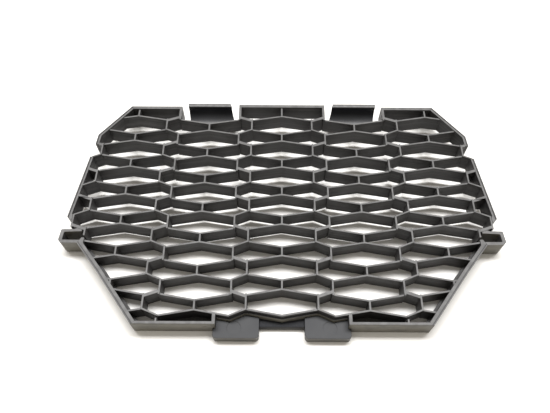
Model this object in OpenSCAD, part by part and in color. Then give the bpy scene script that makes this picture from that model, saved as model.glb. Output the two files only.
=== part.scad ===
// Front grille insert: honeycomb lattice with rim, side lugs, top hooks and lower tabs.
// Lies on its rear face. +Z is the front face, +Y the top edge, X the width.
// Origin: centre of the rear face, on the plane it rests on.

/* [Overall] */
// Depth of the rim and spines, rear to front
depth = 18; // [12:0.5:26]
// Distance between neighbouring columns of cells
col_pitch = 72; // [60:0.5:84]
// Distance between neighbouring rows of webs
row_pitch = 15.4; // [12:0.1:19]

/* [Lattice] */
// Half the width of a wide cell, to the middle of its side walls
half_cell = 29.7; // [25:0.1:33]
// Thickness of webs, posts and spine walls
wall = 1.5; // [1.3:0.1:2.2]
// Height of the thick links of a spine, along Y
thick_link = 2.9; // [2.2:0.1:4]
// How far the webs and posts sit below the spines
web_drop = 1.3; // [0:0.1:3]
// Rise of a web arm from a spine to its peak
arm_rise = 5.2; // [3:0.1:7]
// Peak of a lower web above its row line, even columns
peak_up = 3.9; // [2:0.1:6]
// Dip of an upper web below its row line, even columns
peak_down = 3.3; // [2:0.1:6]
// Shift of the odd columns toward the lower edge
odd_shift = 2.6; // [0:0.1:4]

/* [Rim] */
// Thickness of the upper and side rails
rail = 3.4; // [2.6:0.1:5]
// Thickness of the slanted lower rails
low_rail = 4.2; // [3:0.1:6]
// Distance from a rail's outer edge to the groove in its front face
groove_at = 0.9; // [0.6:0.1:1.2]
// Width of that groove
groove_w = 0.6; // [0.4:0.1:0.8]
// Depth of that groove
groove_d = 0.7; // [0.3:0.1:1.2]
// Width of the step at the rear of the slanted lower rails
step_w = 2.2; // [1:0.1:3]
// Height of that step
step_h = 6; // [3:0.5:9]
// Thickness of the top rails' end walls beside the hooks
end_wall = 2.4; // [1.8:0.1:3.2]
// Thickness of the bottom rails and their end walls
base_rail = 2.8; // [2:0.1:4]
// Depth of the thick part of the wall behind the lower tabs
skirt_depth = 12.5; // [8:0.5:16]
// Extra thickness of that wall
skirt = 1.6; // [0.8:0.1:3]
// Thickness of the pocket floors
floor_t = 2; // [1.2:0.1:4]

/* [Hooks and tabs] */
// Thickness of a top hook
hook_t = 2.8; // [2:0.1:4]
// Inside bend radius of a top hook
hook_r = 12; // [8:0.5:13]
// Height of the lower tabs above the rear face
tab_h = 9; // [6:0.5:12]
// Wall thickness of the lower tabs
tab_t = 2.5; // [1.8:0.1:4]
// Corner radius of the lower tabs
tab_r = 3; // [1:0.5:6]
// Height of the bar between the lower tabs
bar_h = 6; // [3:0.5:9]

/* [Hidden] */
$fn = 32;
eps = 0.01;
rows = 14;
base_y = -100;
web_h = depth - web_drop;
spine_x = [[-3, -2], [-2, -1], [-1, 0], [0, 1], [1, 2], [2, 3]];

// Left rim, outer corners, from the top toward the lower edge
top_y = 115.6;
top_end_x = -100.75;
shoulder = [[top_end_x, top_y], [-152, top_y], [-180, 79], [-181, 67.4]];
centre_y = 118.2;
centre_x = 43.25;
side = [[-183.4, 52.4], [-192, -13.4]];
side_foot = [[-187.25, -17.8], [-187.25, -11.5]];
lower = [[-178.3, -39.6], [-156.5, -66.2], [-121.7, -111.6], [-53.9, -111.6]];
low_head = [[-175.2, -34.3], [-172.75, -34.3]];
gap_x = 53.9;
stub_end = -32.1;
hook_x = [[-95.2, -52.3], [-93.6, -47.6]];
hook_top = 120;
hook_foot = 106;
hook_wall = 115.6;
tab_x = [-56.4, -18.8];
tab_y = -120;
bar_y = -110;
notch_y = 104;
end_out = centre_x + edge(-1, 1);

function row_y(n) = base_y + (rows - n) * row_pitch;
function odd(k) = abs(k) % 2;
function edge(k, s) = k * col_pitch + s * half_cell;
function v_tip(k, n) = row_y(n) - peak_down - odd(k) * odd_shift;
function v_end(k, n) = v_tip(k, n) + arm_rise;
function r_tip(k, n) = row_y(n) + peak_up - odd(k) * odd_shift;
function r_end(k, n) = r_tip(k, n) - arm_rise;
function thick_odd(n) = row_y(n) + 1.85;
function thick_even(n) = row_y(n) - 3.05;
function left_of(a, b) = [a[1] - b[1], b[0] - a[0]] / norm(b - a);
function mitre(a, b) = (a + b) / (1 + a * b);
function flip(p) = [for (q = p) [-q[0], q[1]]];
function back(p) = [for (i = [len(p) - 1:-1:0]) p[i]];
function part_of(p, first, last) = [for (i = [first:last]) p[i]];
function leg_n(p, i) = left_of(p[i], p[i + 1]);
function corner_n(p, i) =
  i == 0 ? leg_n(p, 0)
  : i == len(p) - 1 ? leg_n(p, i - 1)
  : mitre(leg_n(p, i - 1), leg_n(p, i));
// Path p moved inwards by d, with mitred corners
function shift(p, d) = [for (i = [0:len(p) - 1]) p[i] + d * corner_n(p, i)];
function past(a, b, d) = b + d * (b - a) / norm(b - a);
function run_on(p, d) =
  let (n = len(p) - 1)
  [for (i = [0:n]) i == 0 ? past(p[1], p[0], d) : i == n ? past(p[n - 1], p[n], d) : p[i]];
function meet_x(a, b, x) = a + (b - a) * (x - a[0]) / (b[0] - a[0]);
function meet_y(a, b, y) = a + (b - a) * (y - a[1]) / (b[1] - a[1]);

low_path = part_of(lower, 0, 2);
base_in_y = lower[2][1] + base_rail;
// Inner line of a slanted lower rail that is t thick
function low_line(t) =
  let (q = shift(low_path, t))
  [meet_x(q[0], q[1], low_head[1][0]), q[1], meet_y(q[1], q[2], base_in_y)];

shoulder_in = shift(shoulder, rail);
side_in = shift(side, rail) + [[0, 1.78], [0.45, 3.5]];
low_in = low_line(low_rail);
half_inside = concat(
  [[0, centre_y - rail], [-centre_x, centre_y - rail], [-centre_x, notch_y]],
  [[top_end_x, notch_y]],
  shoulder_in,
  [[-177.6, 62], [-175.2, 62], [-175.2, 58.4], [side_in[0][0], 56.2]],
  side_in,
  [side_foot[1], [side_foot[1][0], -23.3], [-174.65, -28.9], [-174.65, stub_end]],
  [[low_head[1][0], stub_end]],
  low_in,
  [[-centre_x, base_in_y], [0, base_in_y]]
);
half_gap = [
  [0, v_tip(0, rows) - wall / 2],
  [edge(0, -1), v_end(0, rows) - wall / 2],
  [edge(-1, 1), r_end(-1, rows) - wall / 2],
  [-gap_x, r_end(-1, rows) - wall / 2 + (gap_x - centre_x + wall / 2) * arm_rise / half_cell]
];
gap_line = concat(half_gap, back(flip([for (i = [1:3]) half_gap[i]])));
gap_edge = concat([for (i = [3:-1:0]) half_gap[i]], flip([for (i = [1:3]) half_gap[i]]));
gap_low = [for (p = gap_edge) p - [0, skirt]];

module both(side_sign) {
  mirror([side_sign > 0 ? 1 : 0, 0, 0]) children();
}

// Sloping bar between two points, drawn from the left one to the right one
module bar_2d(p, q, t) {
  a = p[0] < q[0] ? p : q;
  b = p[0] < q[0] ? q : p;
  polygon([a - [0, t / 2], b - [0, t / 2], b + [0, t / 2], a + [0, t / 2]]);
}

// Strip that follows path p, between two distances from it
module band_2d(p, near, far) {
  polygon(concat(shift(p, near), back(shift(p, far))));
}

// Groove along a rail's path, run on past its ends so that it opens there
module groove(p) {
  translate([0, 0, depth - groove_d])
  linear_extrude(groove_d + eps)
  band_2d(run_on(p, 2 * groove_w), groove_at, groove_at + groove_w);
}

module post_2d(x, y0, y1) {
  translate([x - wall / 2, y0]) square([wall, y1 - y0]);
}

// Wall at the end of a top rail, beside a hook
module head_post_2d(xo, s, y0) {
  translate([s > 0 ? xo + end_out - end_wall : xo - end_out, y0])
  square([end_wall, centre_y - y0]);
}

// Zigzag wall between columns a and b
module spine_2d(a, b) {
  even_k = odd(a) == 0 ? a : b;
  odd_k = odd(a) == 0 ? b : a;
  s = odd(a) == 0 ? 1 : -1;
  xe = edge(even_k, s);
  xo = edge(odd_k, -s);
  we = s * wall / 2;
  for (n = [1:2:rows - 1]) {
    odd_foot = v_end(odd_k, n) - wall / 2;
    post_2d(xe, v_end(even_k, n + 1), r_end(even_k, n) + wall / 2);
    bar_2d([xo + we, thick_odd(n)], [xe - we, thick_even(n)], thick_link);
    if (n == 1 && abs(odd_k) == 1) {
      post_2d(xo, odd_foot, thick_odd(n));
      head_post_2d(xo, s, thick_odd(n) - thick_link / 2);
    } else {
      post_2d(xo, odd_foot, n == 1 ? centre_y : r_end(odd_k, n - 1));
    }
  }
  for (n = [2:2:rows]) {
    bar_2d([xo + we, r_end(odd_k, n)], [xe - we, v_end(even_k, n)], wall);
  }
}

module inside_2d() {
  polygon(half_inside);
  polygon(flip(half_inside));
}

module spines_2d() {
  for (p = spine_x) {
    spine_2d(p[0], p[1]);
  }
}

module spine_shape_2d(i) {
  intersection() {
    spine_2d(spine_x[i][0], spine_x[i][1]);
    inside_2d();
  }
}

module spine(i) {
  color("#26272a")
  linear_extrude(depth)
  spine_shape_2d(i);
}

// Two arms that dip to the middle, the upper web of a post
module dip_2d(k, n) {
  x = k * col_pitch;
  bar_2d([x - half_cell, v_end(k, n)], [x, v_tip(k, n)], wall);
  bar_2d([x, v_tip(k, n)], [x + half_cell, v_end(k, n)], wall);
}

// Two arms that peak in the middle, the lower web of a post
module peak_2d(k, n) {
  x = k * col_pitch;
  bar_2d([x - half_cell, r_end(k, n)], [x, r_tip(k, n)], wall);
  bar_2d([x, r_tip(k, n)], [x + half_cell, r_end(k, n)], wall);
}

module column_2d(k) {
  first = odd(k);
  for (j = [first:2:rows - 1]) {
    if (j > 0) {
      dip_2d(k, j);
    }
    peak_2d(k, j + 1);
    post_2d(k * col_pitch, r_tip(k, j + 1), j == 0 ? centre_y : v_tip(k, j));
  }
  if (first == 0) {
    dip_2d(k, rows);
  }
}

module webs(k) {
  color("#303134")
  linear_extrude(web_h)
  difference() {
    intersection() {
      column_2d(k);
      inside_2d();
    }
    spines_2d();
  }
}

module top_rail(s) {
  color("#2b2c2f")
  both(s)
  linear_extrude(depth)
  polygon([shoulder[0], shoulder[1], shoulder_in[1], shoulder_in[0]]);
}

module top_rail_mid() {
  color("#2b2c2f")
  translate([-centre_x, centre_y - rail, 0]) cube([2 * centre_x, rail, depth]);
}

module shoulder_rail(s) {
  outer = part_of(shoulder, 1, 3);
  inner = part_of(shoulder_in, 1, 3);
  color("#292a2d")
  both(s)
  difference() {
    linear_extrude(depth) polygon(concat(outer, back(inner)));
    groove(part_of(shoulder, 0, 3));
  }
}

module side_rail(s) {
  color("#292a2d")
  both(s)
  difference() {
    linear_extrude(depth)
    polygon([side[0], side[1], side_foot[0], side_foot[1], side_in[1], side_in[0]]);
    groove(side);
  }
}

// Slanted rail with a step along the rear of its inner side
module lower_rail(s) {
  color("#2b2c2f")
  both(s)
  difference() {
    union() {
      linear_extrude(depth) polygon(concat(low_path, back(low_in), [low_head[1], low_head[0]]));
      linear_extrude(step_h) difference() {
        polygon(concat(low_in, back(low_line(low_rail + step_w))));
        lattice_2d();
      }
    }
    groove(low_path);
  }
}

module lattice_2d() {
  spines_2d();
  column_2d(-1);
  column_2d(-2);
}

module bottom_rail(s) {
  post_y = r_end(-1, rows) - wall / 2;
  color("#292a2d")
  both(s)
  linear_extrude(depth)
  difference() {
    union() {
      polygon([lower[2], lower[3], [-gap_x, base_in_y], low_in[2]]);
      translate([-gap_x - base_rail, lower[2][1]]) square([base_rail, 11]);
      post_2d(edge(-1, -1), base_in_y - eps, post_y - 1.5);
    }
    column_2d(-1);
    translate([-gap_x - 10, row_y(rows) - 1.4]) square([12, 8]);
  }
}

module side_lug(s) {
  color("#232427")
  both(s)
  linear_extrude(depth)
  difference() {
    polygon([
      [-176, -25], [-180, -24.6], [-183, -25.8], [-194.4, -26], [-195.4, -36.6], [-192.4, -39.6],
      lower[0], [-176.4, -36.35], [-191.9, -36.35], [-191.4, -28.9], [-176, -28.2]
    ]);
    spine_shape_2d(0);
  }
}

module hook_profile() {
  ring_x = hook_wall - hook_r;
  translate([90, 0]) square([ring_x - 90, hook_t]);
  intersection() {
    translate([ring_x, hook_r + hook_t]) difference() {
      circle(r = hook_r + hook_t);
      circle(r = hook_r);
    }
    translate([ring_x, 0]) square([hook_r + hook_t, hook_r + hook_t]);
  }
  polygon([
    [hook_wall, hook_r + hook_t - eps], [hook_wall + hook_t, hook_r + hook_t - eps],
    [hook_top, depth - 2.2], [hook_wall - 0.4, depth - 2.2]
  ]);
  translate([hook_wall - 0.4, depth - 2.25]) square([hook_top - hook_wall + 0.4, 2.25]);
}

module top_hook(s) {
  root = v_end(-1, 1) + wall / 2;
  tip = v_tip(-1, 1) + wall / 2;
  mid = -col_pitch;
  slope = arm_rise / half_cell;
  color("#1f2023")
  both(s)
  intersection() {
    rotate([90, 0, 90]) translate([0, 0, -110]) linear_extrude(80) hook_profile();
    linear_extrude(depth) polygon([
      [hook_x[0][0], hook_top], [hook_x[1][0], hook_foot],
      [hook_x[1][0], root - slope * (half_cell + hook_x[1][0] - mid)], [mid, tip],
      [hook_x[1][1], tip + slope * (hook_x[1][1] - mid)], [hook_x[1][1], hook_foot],
      [hook_x[0][1], hook_top]
    ]);
  }
}

module gap_wall() {
  color("#2b2c2f")
  linear_extrude(skirt_depth)
  polygon(concat(gap_edge, back(gap_low)));
}

module tab_area() {
  difference() {
    hull_free_tab();
    polygon(concat(gap_low, [[gap_x, base_y + 8], [-gap_x, base_y + 8]]));
    translate([-gap_x - 10, lower[2][1]]) square([10, 20]);
  }
}

// Rounded rectangle of a tab, drawn from straight pieces and corner discs
module hull_free_tab() {
  w = tab_x[1] - tab_x[0];
  translate([tab_x[0], tab_y + tab_r]) square([w, 24]);
  translate([tab_x[0] + tab_r, tab_y]) square([w - 2 * tab_r, tab_r + eps]);
  translate([tab_x[0] + tab_r, tab_y + tab_r]) circle(r = tab_r);
  translate([tab_x[1] - tab_r, tab_y + tab_r]) circle(r = tab_r);
}

module lower_tab(s) {
  color("#232427")
  both(s)
  difference() {
    linear_extrude(tab_h) tab_area();
    translate([tab_x[0] + tab_t, tab_y + tab_t, -eps])
    cube([tab_x[1] - tab_x[0] - 2 * tab_t, 9, tab_h - tab_t + eps]);
  }
}

module tab_bridge() {
  color("#232427")
  linear_extrude(bar_h)
  difference() {
    translate([tab_x[1], bar_y]) square([-2 * tab_x[1], 14]);
    polygon(concat(gap_low, [[gap_x, base_y + 8], [-gap_x, base_y + 8]]));
  }
}

module pocket_floor(s) {
  x0 = edge(-1, -1) + wall / 2;
  color("#1f2023")
  both(s)
  linear_extrude(floor_t)
  difference() {
    translate([x0, base_in_y]) square([-gap_x - base_rail - x0, 12]);
    column_2d(-1);
    polygon([
      [edge(-1, -1), r_end(-1, rows)], [-col_pitch, r_tip(-1, rows)], [edge(-1, 1), r_end(-1, rows)],
      [edge(-1, 1), base_y + 9], [edge(-1, -1), base_y + 9]
    ]);
  }
}

spine(0);  // spine_outer_left
spine(1);  // spine_left
spine(2);  // spine_inner_left
spine(3);  // spine_inner_right
spine(4);  // spine_right
spine(5);  // spine_outer_right
webs(-2);  // webs_outer_left
webs(-1);  // webs_left
webs(0);  // webs_centre
webs(1);  // webs_right
webs(2);  // webs_outer_right
top_rail(-1);  // top_rail_left
top_rail_mid();  // top_rail_centre
top_rail(1);  // top_rail_right
shoulder_rail(-1);  // shoulder_rail_left
shoulder_rail(1);  // shoulder_rail_right
side_rail(-1);  // side_rail_left
side_rail(1);  // side_rail_right
lower_rail(-1);  // lower_rail_left
lower_rail(1);  // lower_rail_right
bottom_rail(-1);  // bottom_rail_left
bottom_rail(1);  // bottom_rail_right
side_lug(-1);  // side_lug_left
side_lug(1);  // side_lug_right
top_hook(-1);  // top_hook_left
top_hook(1);  // top_hook_right
gap_wall();  // gap_skirt
lower_tab(-1);  // lower_tab_left
lower_tab(1);  // lower_tab_right
tab_bridge();  // tab_bar
pocket_floor(-1);  // pocket_floor_left
pocket_floor(1);  // pocket_floor_right
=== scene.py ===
import math

import bmesh
import bpy
from mathutils import Matrix, Vector


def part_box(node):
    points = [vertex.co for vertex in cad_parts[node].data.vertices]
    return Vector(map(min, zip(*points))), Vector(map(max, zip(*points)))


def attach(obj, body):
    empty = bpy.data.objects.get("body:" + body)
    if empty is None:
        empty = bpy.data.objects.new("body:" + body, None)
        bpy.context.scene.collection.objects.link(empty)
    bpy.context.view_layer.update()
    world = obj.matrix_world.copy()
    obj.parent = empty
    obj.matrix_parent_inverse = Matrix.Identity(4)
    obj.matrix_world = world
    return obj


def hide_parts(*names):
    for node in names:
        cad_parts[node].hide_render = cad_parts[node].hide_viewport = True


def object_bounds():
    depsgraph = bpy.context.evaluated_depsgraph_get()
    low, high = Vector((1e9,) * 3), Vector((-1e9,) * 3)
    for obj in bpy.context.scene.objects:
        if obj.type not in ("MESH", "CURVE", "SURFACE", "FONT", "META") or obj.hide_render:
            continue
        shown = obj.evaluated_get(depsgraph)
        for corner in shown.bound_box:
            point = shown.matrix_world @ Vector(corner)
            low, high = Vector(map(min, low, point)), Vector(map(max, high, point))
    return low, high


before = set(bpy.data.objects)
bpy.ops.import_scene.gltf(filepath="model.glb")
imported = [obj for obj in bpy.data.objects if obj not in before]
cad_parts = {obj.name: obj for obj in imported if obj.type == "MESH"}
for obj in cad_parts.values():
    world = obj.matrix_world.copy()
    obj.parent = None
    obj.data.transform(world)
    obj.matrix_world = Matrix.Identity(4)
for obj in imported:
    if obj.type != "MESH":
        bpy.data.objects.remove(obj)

MM = 0.001
cad_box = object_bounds()
DEPTH = cad_box[1][2]
NODES = list(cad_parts)
scene = bpy.context.scene
scene.view_settings.view_transform = "Standard"

# ---------------------------------------------------------------- camera
CAM_PLACE = (-5.44 * MM, -245.09 * MM, 430.99 * MM)
CAM_TILT = 30.49
CAM_TURN = 0.19
CAM_ROLL = 0.155
CAM_LENS = 34.72
CAM_SENSOR = 36.0
CAM_NEAR = 10 * MM


def make_camera():
    """A camera above the lower edge that looks down on the grille."""
    optics = bpy.data.cameras.new("camera")
    optics.lens = CAM_LENS
    optics.sensor_width = CAM_SENSOR
    optics.clip_start = CAM_NEAR
    camera = bpy.data.objects.new("camera", optics)
    scene.collection.objects.link(camera)
    camera.matrix_world = (
        Matrix.Translation(CAM_PLACE)
        @ Matrix.Rotation(math.radians(CAM_TURN), 4, "Z")
        @ Matrix.Rotation(math.radians(CAM_TILT), 4, "X")
        @ Matrix.Rotation(math.radians(CAM_ROLL), 4, "Z")
    )
    scene.camera = camera


make_camera()

# ---------------------------------------------------------------- modelling helpers
CAD_MERGE = 0.002 * MM
CAD_FLAT_ANGLE = math.radians(0.5)
BEVEL_MERGE = 0.004 * MM
BREAK_ANGLE = math.radians(35)
SMOOTH_ANGLE = math.radians(50)
HEIGHT_SLACK = 0.01 * MM
SIDE_SLACK = 0.05 * MM


def only(obj):
    """Leaves one object selected and active."""
    bpy.ops.object.select_all(action="DESELECT")
    obj.select_set(True)
    bpy.context.view_layer.objects.active = obj


def in_edit(obj, pick=None):
    """Opens edit mode with nothing selected, or with the edges that pick(edge) accepts."""
    only(obj)
    bpy.ops.object.mode_set(mode="EDIT")
    bpy.ops.mesh.select_mode(type="EDGE")
    bpy.ops.mesh.select_all(action="DESELECT")
    if pick is not None:
        shape = bmesh.from_edit_mesh(obj.data)
        for edge in shape.edges:
            edge.select_set(pick(edge))
        shape.select_flush_mode()
        bmesh.update_edit_mesh(obj.data)


def done():
    """Closes edit mode."""
    bpy.ops.object.mode_set(mode="OBJECT")


def apply_all(obj):
    """Applies every modifier on an object, in order."""
    only(obj)
    for mod in list(obj.modifiers):
        bpy.ops.object.modifier_apply(modifier=mod.name)


def moulding(node):
    """A merged copy of a CAD piece: its loose triangles become whole faces."""
    source = bpy.data.objects[node]
    piece = source.copy()
    piece.data = source.data.copy()
    piece.name = f"{node}_moulding"
    piece.data.name = piece.name
    for collection in source.users_collection:
        collection.objects.link(piece)
    only(piece)
    bpy.ops.mesh.customdata_custom_splitnormals_clear()
    in_edit(piece)
    bpy.ops.mesh.select_all(action="SELECT")
    bpy.ops.mesh.remove_doubles(threshold=CAD_MERGE)
    bpy.ops.mesh.dissolve_limited(angle_limit=CAD_FLAT_ANGLE)
    done()
    return piece


def round_edges(piece, pick, width, steps=3):
    """Rounds the edges that pick(edge) accepts, in edit mode."""
    in_edit(piece, pick)
    bpy.ops.mesh.bevel(offset=width, segments=steps, profile=0.5, clamp_overlap=True)
    done()


def soften(piece, width):
    """Breaks every sharp edge that is left with a small radius, and keeps flat faces flat."""
    mod = piece.modifiers.new("edge_radius", "BEVEL")
    mod.width = width
    mod.segments = 2
    mod.limit_method = "ANGLE"
    mod.angle_limit = BREAK_ANGLE
    mod.use_clamp_overlap = True
    apply_all(piece)
    in_edit(piece)
    bpy.ops.mesh.select_all(action="SELECT")
    bpy.ops.mesh.remove_doubles(threshold=BEVEL_MERGE)
    bpy.ops.mesh.dissolve_degenerate(threshold=BEVEL_MERGE)
    done()
    bpy.ops.object.shade_smooth_by_angle(angle=SMOOTH_ANGLE)
    flat = piece.modifiers.new("flat_faces", "WEIGHTED_NORMAL")
    flat.mode = "FACE_AREA"
    flat.weight = 100
    flat.keep_sharp = True
    apply_all(piece)


def cut_disc(piece, centre, radius, depth):
    """Sinks a shallow round ejector mark into a flat top face."""
    bpy.ops.object.select_all(action="DESELECT")
    bpy.ops.mesh.primitive_cylinder_add(vertices=48, radius=radius, depth=2 * depth, location=centre)
    cutter = bpy.context.object
    bpy.ops.object.transform_apply(location=True)
    mod = piece.modifiers.new("ejector_mark", "BOOLEAN")
    mod.object = cutter
    mod.operation = "DIFFERENCE"
    mod.solver = "EXACT"
    apply_all(piece)
    only(cutter)
    bpy.ops.object.delete()


def at_height(edge, height):
    """Whether an edge lies flat at a height above the rear face."""
    return all(abs(vert.co.z - height) < HEIGHT_SLACK for vert in edge.verts)


def upright(edge):
    """Whether an edge runs from the rear to the front."""
    a, b = edge.verts
    return abs(a.co.z - b.co.z) > 0.9 * edge.calc_length()


def crosswise(edge):
    """Whether an edge runs level across the width of the grille."""
    a, b = edge.verts
    return abs(a.co.y - b.co.y) < SIDE_SLACK


def round_front_lip(piece, node, width):
    """Rounds the edge between a piece's front face and its lower side."""
    low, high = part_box(node)

    def on_lip(edge):
        return at_height(edge, high[2]) and all(abs(vert.co.y - low[1]) < SIDE_SLACK for vert in edge.verts)

    round_edges(piece, on_lip, width)


# ---------------------------------------------------------------- shader helpers
def start_group(name, inputs, outputs):
    """A shader node group with its sockets, and its two end nodes."""
    group = bpy.data.node_groups.new(name, "ShaderNodeTree")
    for label, value in inputs:
        socket = group.interface.new_socket(label, in_out="INPUT", socket_type="NodeSocketFloat")
        socket.default_value = value
    for label in outputs:
        group.interface.new_socket(label, in_out="OUTPUT", socket_type="NodeSocketFloat")
    return group, group.nodes.new("NodeGroupInput"), group.nodes.new("NodeGroupOutput")


def math_node(tree, operation, first, second=None, clamp=False):
    """The result of a Math node; first and second are sockets or numbers."""
    node = tree.nodes.new("ShaderNodeMath")
    node.operation = operation
    node.use_clamp = clamp
    for i, value in enumerate((first, second)):
        if value is None:
            continue
        if isinstance(value, (int, float)):
            node.inputs[i].default_value = value
        else:
            tree.links.new(value, node.inputs[i])
    return node.outputs[0]


def times(tree, first, second, clamp=False):
    """One value multiplied by another."""
    return math_node(tree, "MULTIPLY", first, second, clamp)


def plus(tree, first, second, clamp=False):
    """The sum of two values."""
    return math_node(tree, "ADD", first, second, clamp)


def noise_on(tree, scale, stretch=(1, 1, 1), detail=3.0, rough=0.55):
    """Noise in the piece's own coordinates; scale is a socket or a number, per metre."""
    coords = tree.nodes.new("ShaderNodeTexCoord")
    mapping = tree.nodes.new("ShaderNodeMapping")
    mapping.inputs["Scale"].default_value = stretch
    tree.links.new(coords.outputs["Object"], mapping.inputs["Vector"])
    noise = tree.nodes.new("ShaderNodeTexNoise")
    noise.inputs["Detail"].default_value = detail
    noise.inputs["Roughness"].default_value = rough
    tree.links.new(mapping.outputs["Vector"], noise.inputs["Vector"])
    if isinstance(scale, (int, float)):
        noise.inputs["Scale"].default_value = scale
    else:
        tree.links.new(scale, noise.inputs["Scale"])
    return noise.outputs["Fac"]


def remap(tree, value, low, high, to_low=0.0, to_high=1.0):
    """Eases a value from to_low, where it is low, to to_high, where it is high."""
    node = tree.nodes.new("ShaderNodeMapRange")
    node.interpolation_type = "SMOOTHSTEP"
    node.inputs["From Min"].default_value = low
    node.inputs["From Max"].default_value = high
    node.inputs["To Min"].default_value = to_low
    node.inputs["To Max"].default_value = to_high
    tree.links.new(value, node.inputs["Value"])
    return node.outputs["Result"]


def part_of(tree, vector, axis):
    """The X, Y or Z of a vector socket."""
    parts = tree.nodes.new("ShaderNodeSeparateXYZ")
    tree.links.new(vector, parts.inputs["Vector"])
    return parts.outputs[axis]


def facing(tree, axis):
    """How far the surface faces along an axis, from -1 to 1; Z is the front of the grille."""
    geometry = tree.nodes.new("ShaderNodeNewGeometry")
    return part_of(tree, geometry.outputs["Normal"], axis)


def height_on(tree):
    """The height of the surface above the rear face."""
    coords = tree.nodes.new("ShaderNodeTexCoord")
    return part_of(tree, coords.outputs["Object"], "Z")


# ---------------------------------------------------------------- shader groups
LINE_SCALE = (16, 16, 620)
BAND_SCALE = (9, 9, 210)
LINE_SHARE = 0.65
# Below the front level, the painted sheen is full within the second value and gone beyond the first.
SHEEN_ENDS = 0.6 * MM
SHEEN_FULL = 0.2 * MM
DUST_TOP = 12 * MM


def make_mould_texture():
    """The fine grain of the mould, and the slow blotches in the plastic."""
    group, given, out = start_group("mould_texture", [("Grain per metre", 2600.0)], ["Height", "Blotch"])
    fine = noise_on(group, given.outputs["Grain per metre"], detail=4.0, rough=0.62)
    group.links.new(fine, out.inputs["Height"])
    slow = noise_on(group, scale=38.0, detail=4.0, rough=0.6)
    group.links.new(remap(group, slow, low=0.3, high=0.72), out.inputs["Blotch"])
    return group


def make_draw_lines():
    """Fine lines that run along the walls, level with the front face."""
    group, given, out = start_group("draw_lines", [("Strength", 1.0)], ["Lines"])
    lines = noise_on(group, scale=1.0, stretch=LINE_SCALE, detail=3.0, rough=0.7)
    bands = noise_on(group, scale=1.0, stretch=BAND_SCALE, detail=1.0, rough=0.5)
    both = plus(group, times(group, lines, LINE_SHARE), times(group, bands, 1 - LINE_SHARE))
    on_wall = remap(group, math_node(group, "ABSOLUTE", facing(group, "Z")), low=0.5, high=0.15)
    strong = times(group, remap(group, both, low=0.32, high=0.68), given.outputs["Strength"])
    group.links.new(times(group, strong, on_wall), out.inputs["Lines"])
    return group


def make_painted_sheen():
    """Painted sheen: the front faces and the upper part of their broken edges made lighter, in patches."""
    group, given, out = start_group("rubbed_edges", [("Amount", 1.0), ("Front level", DEPTH)], ["Mask"])
    front = remap(group, facing(group, "Z"), low=0.25, high=0.7)
    below = math_node(group, "SUBTRACT", given.outputs["Front level"], height_on(group))
    high = remap(group, below, low=SHEEN_ENDS, high=SHEEN_FULL)
    patches = noise_on(group, scale=180.0, detail=5.0, rough=0.65)
    patchy = remap(group, patches, low=0.35, high=0.65, to_low=0.6)
    mask = times(group, times(group, front, high), patchy)
    group.links.new(times(group, mask, given.outputs["Amount"], clamp=True), out.inputs["Mask"])
    return group


def make_settled_dust():
    """Pale dust on what faces up, thicker low inside the lattice."""
    group, given, out = start_group("settled_dust", [("Amount", 0.5), ("Top of dust", DUST_TOP)], ["Mask"])
    lies = remap(group, facing(group, "Z"), low=0.6, high=0.97)
    level = math_node(group, "DIVIDE", height_on(group), given.outputs["Top of dust"])
    deep = remap(group, level, low=1.0, high=0.1)
    specks = remap(group, noise_on(group, scale=900.0, detail=5.0, rough=0.75), low=0.45, high=0.7)
    mask = times(group, times(group, lies, deep), specks)
    group.links.new(times(group, mask, given.outputs["Amount"], clamp=True), out.inputs["Mask"])
    return group


def make_floor_reflection():
    """Painted reflection of the pale floor, in clouds, on the outer faces that look toward the lower edge.
    """
    group, given, out = start_group("scuffed_front", [("Amount", 1.0)], ["Mask"])
    faces = remap(group, facing(group, "Y"), low=-0.35, high=-0.8)
    smears = noise_on(group, scale=70.0, stretch=(1, 1, 1.6), detail=6.0, rough=0.7)
    clouds = remap(group, smears, low=0.3, high=0.62, to_low=0.45)
    mask = times(group, faces, clouds)
    group.links.new(times(group, mask, given.outputs["Amount"], clamp=True), out.inputs["Mask"])
    return group


# Of these groups, edges paints sheen on the front faces, and the first paints a reflection of the floor.
GROUPS = {
    "floor_reflection": make_floor_reflection(),
    "texture": make_mould_texture(),
    "lines": make_draw_lines(),
    "edges": make_painted_sheen(),
    "dust": make_settled_dust(),
}

# ---------------------------------------------------------------- plastics
# Painted light: the first colour below is painted sheen for front faces, the second a painted reflection of
# the floor for faces toward the lower edge.
SHEEN_TINT = (0.128, 0.127, 0.128)
FLOOR_REFLECTION_TINT = (0.120, 0.112, 0.088)
LINE_LIGHTER = 2.6
LINE_HEIGHT = 0.03 * MM
BLOTCH_ROUGHER = 0.07
LINE_SMOOTHER = -0.08
SHEEN_SMOOTHER = -0.06
DUST_ROUGHER = 0.3
MIX_UNDER = 6
MIX_OVER = 7
MIX_COLOUR = 2


def new_material(name):
    """A material, its node tree and its Principled shader."""
    mat = bpy.data.materials.new(name)
    mat.use_nodes = True
    return mat, mat.node_tree, mat.node_tree.nodes["Principled BSDF"]


def place_group(tree, key, **values):
    """Places a shader group in a material; the values' names are its input names."""
    node = tree.nodes.new("ShaderNodeGroup")
    node.node_tree = GROUPS[key]
    for label, value in values.items():
        node.inputs[label.replace("_", " ")].default_value = value
    return node


def mix_colour(tree, mask, under, over):
    """One colour laid over another where the mask is 1; each is a socket or three numbers."""
    node = tree.nodes.new("ShaderNodeMix")
    node.data_type = "RGBA"
    for socket, value in ((node.inputs[MIX_UNDER], under), (node.inputs[MIX_OVER], over)):
        if isinstance(value, tuple):
            socket.default_value = (*value, 1.0)
        else:
            tree.links.new(value, socket)
    tree.links.new(mask, node.inputs["Factor"])
    return node.outputs[MIX_COLOUR]


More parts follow.
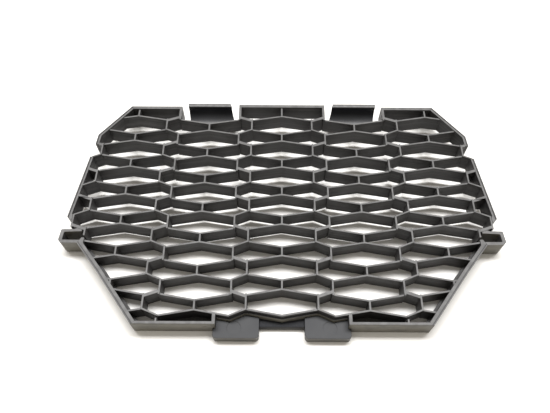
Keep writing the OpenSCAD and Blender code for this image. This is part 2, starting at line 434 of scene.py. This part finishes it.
def plastic(
    name,
    dark,
    light,
    dust_tint,
    rough,
    grain,
    grain_depth,
    line_tone,
    sheen,
    dust,
    gloss,
    floor_reflection=0.0,
    level=DEPTH,
):
    """Moulded plastic: blotchy colour, draw lines on walls, painted sheen on front faces, a painted
    reflection of the floor on faces toward the lower edge, dust and grain.
    """
    mat, tree, shader = new_material(name)
    shader.inputs["IOR"].default_value = 1.5
    shader.inputs["Specular IOR Level"].default_value = gloss
    texture = place_group(tree, "texture", Grain_per_metre=grain)
    blotch = texture.outputs["Blotch"]
    lines = place_group(tree, "lines", Strength=1.0).outputs["Lines"]
    # The edges mask marks painted sheen on the front faces.
    edges = place_group(tree, "edges", Amount=sheen, Front_level=level).outputs["Mask"]
    powder = place_group(tree, "dust", Amount=dust).outputs["Mask"]
    # This mask marks a painted reflection of the floor on faces toward the lower edge.
    reflection_mask = place_group(tree, "floor_reflection", Amount=floor_reflection).outputs["Mask"]

    base = mix_colour(tree, blotch, dark, light)
    streaks = times(tree, lines, line_tone)
    lined = mix_colour(tree, streaks, base, tuple(LINE_LIGHTER * v for v in light))
    # Paints the sheen over the lined colour.
    sheened = mix_colour(tree, edges, lined, SHEEN_TINT)
    # Paints the floor's reflection.
    reflected = mix_colour(tree, reflection_mask, sheened, FLOOR_REFLECTION_TINT)
    dusty = mix_colour(tree, powder, reflected, dust_tint)
    tree.links.new(dusty, shader.inputs["Base Color"])

    matt = plus(tree, times(tree, blotch, BLOTCH_ROUGHER), rough - 0.5 * BLOTCH_ROUGHER)
    drawn = plus(tree, matt, times(tree, lines, LINE_SMOOTHER))
    glossier = plus(tree, drawn, times(tree, edges, SHEEN_SMOOTHER))
    powdery = plus(tree, glossier, times(tree, powder, DUST_ROUGHER), clamp=True)
    tree.links.new(powdery, shader.inputs["Roughness"])

    grain_height = times(tree, texture.outputs["Height"], grain_depth)
    height = plus(tree, grain_height, times(tree, lines, LINE_HEIGHT))
    bump = tree.nodes.new("ShaderNodeBump")
    bump.inputs["Strength"].default_value = 1.0
    bump.inputs["Distance"].default_value = 1.0
    tree.links.new(height, bump.inputs["Height"])
    tree.links.new(bump.outputs["Normal"], shader.inputs["Normal"])
    return mat


TEXTURED = {
    "dark": (0.019, 0.019, 0.020),
    "light": (0.029, 0.028, 0.028),
    "dust_tint": (0.16, 0.145, 0.12),
    "rough": 0.56,
    "grain": 2600.0,
    "grain_depth": 0.030 * MM,
    "line_tone": 0.5,
    "sheen": 0.9,
    "dust": 0.35,
    "gloss": 0.4,
}
SMOOTH = {
    "dark": (0.011, 0.012, 0.015),
    "light": (0.018, 0.019, 0.023),
    "dust_tint": (0.15, 0.14, 0.125),
    "grain": 4200.0,
    "grain_depth": 0.010 * MM,
    "line_tone": 0.3,
    "sheen": 1.0,
    "dust": 0.2,
}
# Every plastic below gets painted sheen on its front faces.
web_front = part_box("webs_centre")[1][2]
textured_plastic = plastic("charcoal_textured_plastic", **TEXTURED)
web_plastic = plastic("charcoal_web_plastic", level=web_front, **TEXTURED)
# This plastic, and less so the tab and bar plastics, carries a painted reflection of the floor on faces
# toward the lower edge.
floor_lit_plastic = plastic("charcoal_scuffed_plastic", floor_reflection=0.85, **TEXTURED)
hook_plastic = plastic("charcoal_hook_plastic", rough=0.42, gloss=0.5, **SMOOTH)
tab_plastic = plastic("charcoal_tab_plastic", rough=0.54, gloss=0.4, floor_reflection=0.5, **SMOOTH)
bar_plastic = plastic("charcoal_bar_plastic", rough=0.56, gloss=0.12, floor_reflection=0.2, **SMOOTH)

# ---------------------------------------------------------------- pieces
LATTICE_EDGE = 0.32 * MM
RAIL_EDGE = 0.28 * MM
LUG_EDGE = 0.4 * MM
HOOK_EDGE = 0.3 * MM
SKIRT_EDGE = 0.3 * MM
TAB_EDGE = 0.16 * MM
BAR_EDGE = 0.3 * MM
FRONT_LIP = 0.9 * MM
LUG_CORNER = 0.9 * MM
LUG_OUTER_WIDTH = 4.5 * MM
HOOK_LIP = 1.3 * MM
TAB_RIM = 0.8 * MM
TAB_RIM_LENGTH = 8 * MM
MARK_RADIUS = 5.8 * MM
MARK_DEPTH = 0.4 * MM
MARK_OUTWARD = 1.6 * MM
MARK_FROM_RIM = 8.4 * MM


def finish(piece, node, material):
    """Gives a finished piece its plastic, hangs it on the root body and hides the CAD piece it stands for.
    """
    piece.data.materials.clear()
    piece.data.materials.append(material)
    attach(piece, "root")
    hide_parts(node)


def spine_piece(node):
    """A zigzag spine: thin walls with finely broken edges."""
    piece = moulding(node)
    soften(piece, LATTICE_EDGE)
    finish(piece, node, textured_plastic)


def web_piece(node):
    """A column of webs and posts, whose front stands a little behind the spines."""
    piece = moulding(node)
    soften(piece, LATTICE_EDGE)
    finish(piece, node, web_plastic)


def rail_piece(node):
    """A top, side or lower rail or a shoulder of the rim, with finely broken edges."""
    piece = moulding(node)
    soften(piece, RAIL_EDGE)
    finish(piece, node, textured_plastic)


def bottom_rail_piece(node):
    """A bottom rail, with a rounder edge between its front face and its lower side."""
    piece = moulding(node)
    round_front_lip(piece, node, FRONT_LIP)
    soften(piece, RAIL_EDGE)
    # Its plastic carries a painted reflection of the floor on faces toward the lower edge.
    finish(piece, node, floor_lit_plastic)


def skirt_piece(node):
    """The thickened wall at the gap in the bottom edge."""
    piece = moulding(node)
    soften(piece, SKIRT_EDGE)
    # Its plastic carries a painted reflection of the floor on faces toward the lower edge.
    finish(piece, node, floor_lit_plastic)


def lug_piece(node):
    """An open box lug with rounded outer corners."""
    low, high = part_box(node)
    outer = max(abs(low[0]), abs(high[0]))

    def outer_corner(edge):
        return upright(edge) and all(abs(vert.co.x) > outer - LUG_OUTER_WIDTH for vert in edge.verts)

    piece = moulding(node)
    round_edges(piece, outer_corner, LUG_CORNER)
    soften(piece, LUG_EDGE)
    # Its plastic carries a painted reflection of the floor on faces toward the lower edge.
    finish(piece, node, floor_lit_plastic)


def hook_piece(node):
    """A top hook with a rounded lip."""
    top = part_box(node)[1][2]
    piece = moulding(node)
    round_edges(piece, lambda edge: at_height(edge, top) and crosswise(edge), HOOK_LIP, steps=4)
    soften(piece, HOOK_EDGE)
    finish(piece, node, hook_plastic)


def tab_piece(node):
    """A lower tab with a rounded front rim and a round ejector mark on its top."""
    low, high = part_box(node)
    middle = 0.5 * (low[0] + high[0])
    side = 1 if middle > 0 else -1

    def on_rim(edge):
        return at_height(edge, high[2]) and all(vert.co.y < low[1] + TAB_RIM_LENGTH for vert in edge.verts)

    piece = moulding(node)
    round_edges(piece, on_rim, TAB_RIM)
    mark = (middle + side * MARK_OUTWARD, low[1] + MARK_FROM_RIM, high[2])
    cut_disc(piece, mark, MARK_RADIUS, MARK_DEPTH)
    soften(piece, TAB_EDGE)
    finish(piece, node, tab_plastic)


def bar_piece(node):
    """The bar between the tabs, with a rounded front edge."""
    piece = moulding(node)
    round_front_lip(piece, node, FRONT_LIP)
    soften(piece, BAR_EDGE)
    finish(piece, node, bar_plastic)


MAKERS = {
    "bottom_rail": bottom_rail_piece,
    "side_lug": lug_piece,
    "top_hook": hook_piece,
    "lower_tab": tab_piece,
    "tab_bar": bar_piece,
    "gap_skirt": skirt_piece,
    "spine": spine_piece,
    "webs": web_piece,
}


def maker_of(node):
    """The function that makes a node's piece; what isn't in MAKERS is part of the rim."""
    for stem, maker in MAKERS.items():
        if node.startswith(stem):
            return maker
    return rail_piece


for node_name in NODES:
    maker_of(node_name)(node_name)

# ---------------------------------------------------------------- stage and light
# The grille rests on its lower part, and the floor falls away slowly under its upper part.
FLOOR_SPAN = 4.0
FLOOR_DROP = 6 * MM
FLOOR_BREAK = -54 * MM
FLOOR_LEVEL_AGAIN = 32 * MM
FLOOR_COLOUR = (0.84, 0.83, 0.81, 1)
FLOOR_ROUGHNESS = 0.75
SKY_COLOUR = (1.0, 0.94, 0.84, 1)
SKY_STRENGTH = 0.54


def make_floor():
    """A pale floor: level, then a gentle slope down, then level again."""
    bpy.ops.object.select_all(action="DESELECT")
    bpy.ops.mesh.primitive_plane_add(size=2 * FLOOR_SPAN)
    floor = bpy.context.object
    floor.name = "floor"
    in_edit(floor, lambda edge: all(vert.co.y > 0 for vert in edge.verts))
    bpy.ops.transform.translate(value=(0, FLOOR_BREAK - FLOOR_SPAN, 0))
    run = FLOOR_LEVEL_AGAIN - FLOOR_BREAK
    for step in ((0, run, -FLOOR_DROP), (0, FLOOR_SPAN, 0)):
        bpy.ops.mesh.extrude_region_move(TRANSFORM_OT_translate={"value": step})
    done()
    mat, _, shader = new_material("pale_floor")
    shader.inputs["Base Color"].default_value = FLOOR_COLOUR
    shader.inputs["Roughness"].default_value = FLOOR_ROUGHNESS
    floor.data.materials.append(mat)


def make_softbox(name, elevation, azimuth, distance, size, power):
    """A wide soft light aimed at the grille; azimuth 0 is beyond its top edge."""
    light = bpy.data.lights.new(name, "AREA")
    light.shape = "RECTANGLE"
    light.size, light.size_y = size
    light.energy = power
    lamp = bpy.data.objects.new(name, light)
    up = math.radians(elevation)
    turn = math.radians(azimuth)
    flat = distance * math.cos(up)
    place = Vector((flat * math.sin(turn), flat * math.cos(turn), distance * math.sin(up)))
    lamp.location = place
    lamp.rotation_euler = (-place).to_track_quat("-Z", "Y").to_euler()
    scene.collection.objects.link(lamp)


def make_sky():
    """An even warm light from all around."""
    world = bpy.data.worlds.new("studio")
    scene.world = world
    world.use_nodes = True
    sky = world.node_tree.nodes["Background"]
    sky.inputs["Color"].default_value = SKY_COLOUR
    sky.inputs["Strength"].default_value = SKY_STRENGTH


make_floor()
make_softbox("key_softbox", elevation=72.5, azimuth=3, distance=2.2, size=(2.6, 0.6), power=90)
make_sky()
